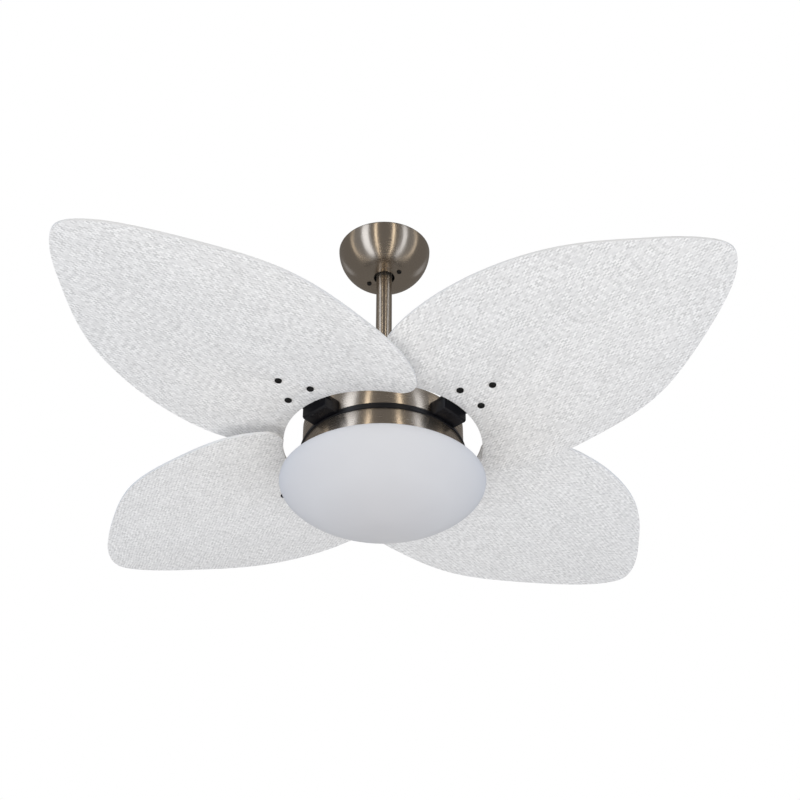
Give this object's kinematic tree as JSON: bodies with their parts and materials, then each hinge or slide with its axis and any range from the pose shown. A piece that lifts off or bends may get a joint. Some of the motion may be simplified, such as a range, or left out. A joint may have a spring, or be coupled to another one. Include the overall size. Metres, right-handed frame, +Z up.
{
  "type": "ceiling fan",
  "caption": "Ceiling fan with wide white petal blades of woven cane finish, a brushed nickel canopy, rod and motor rings, and an opal glass bowl light below.",
  "frame": {"origin": "on the ceiling plane, where the fan's axis meets the top of the ceiling bracket", "axes": "+Z up along the rod and motor axis, +X along the bracket's row of fixing holes, -Y towards the picture's viewer"},
  "size_m": [0.8082, 0.8082, 0.4527],
  "materials": {
    "brushed_nickel": "satin brushed nickel, warm and dark",
    "black_enamel": "satin black enamel",
    "black_screw": "black oxide",
    "zinc_steel": "bright zinc plate",
    "bearing_steel": "ground steel",
    "motor_iron": "oiled laminations",
    "copper_wire": "varnished copper wire",
    "cane_board": "white woven cane face on a board",
    "opal_glass": "satin opal glass",
    "lamp_glass": "white coated lamp glass",
    "lamp_metal": "bright screw cap",
    "porcelain": "glazed porcelain",
    "terminal_plastic": "natural nylon",
    "soft_rubber": "black rubber"
  },
  "bodies": {
    "ceiling_mount": {"ceiling_bracket": "zinc_steel", "hanger_bolt": "zinc_steel", "hanger_nut": "zinc_steel", "terminal_block": "terminal_plastic", "canopy": "brushed_nickel", "canopy_screws": "black_screw"},
    "suspension": {"rubber_bush": "soft_rubber", "downrod": "brushed_nickel", "rod_coupling": "zinc_steel", "coupling_bolt": "zinc_steel", "coupling_nut": "zinc_steel", "shaft_pin": "zinc_steel", "motor_shaft": "bearing_steel", "shaft_spacer": "zinc_steel", "shaft_nut": "zinc_steel", "upper_bearing_inner": "bearing_steel", "lower_bearing_inner": "bearing_steel", "stator_core": "motor_iron", "stator_winding": "copper_wire", "light_plate": "black_enamel", "light_pan": "brushed_nickel", "pan_screws": "zinc_steel", "bracket_screws": "zinc_steel", "lamp_bracket_1": "zinc_steel", "lamp_bracket_2": "zinc_steel", "lampholder_1": "porcelain", "lampholder_2": "porcelain", "lampholder_nuts": "zinc_steel", "lamp_cap_1": "lamp_metal", "lamp_cap_2": "lamp_metal", "lamp_globe_1": "lamp_glass", "lamp_globe_2": "lamp_glass", "bowl_clips": "zinc_steel"},
    "rotor": {"rotor_base": "black_enamel", "rotor_ring": "brushed_nickel", "rotor_cover": "brushed_nickel", "rotor_core": "motor_iron", "housing_screws": "zinc_steel", "upper_bearing_outer": "bearing_steel", "upper_bearing_balls": "bearing_steel", "lower_bearing_outer": "bearing_steel", "lower_bearing_balls": "bearing_steel", "holder_screws": "black_screw", "blade_screws": "black_screw", "blade_1": "cane_board", "blade_2": "cane_board", "blade_3": "cane_board", "blade_4": "cane_board", "blade_holder_1": "black_enamel", "blade_holder_2": "black_enamel", "blade_holder_3": "black_enamel", "blade_holder_4": "black_enamel"},
    "bowl": {"glass_bowl": "opal_glass", "bowl_gasket": "soft_rubber"}
  },
  "joints": [
    {"name": "hanger_swing", "type": "hinge", "parent": "ceiling_mount", "child": "suspension", "pos_m": [0, 0, -0.024], "axis": [0, 1, 0], "range_deg": [-3, 3]},
    {"name": "rotor_spin", "type": "hinge", "parent": "suspension", "child": "rotor", "pos_m": [0, 0, -0.34], "axis": [0, 0, 1], "continuous": true},
    {"name": "bowl_drop", "type": "slide", "parent": "suspension", "child": "bowl", "axis": [0, 0, -1], "range_m": [0, 0.07]}
  ]
}
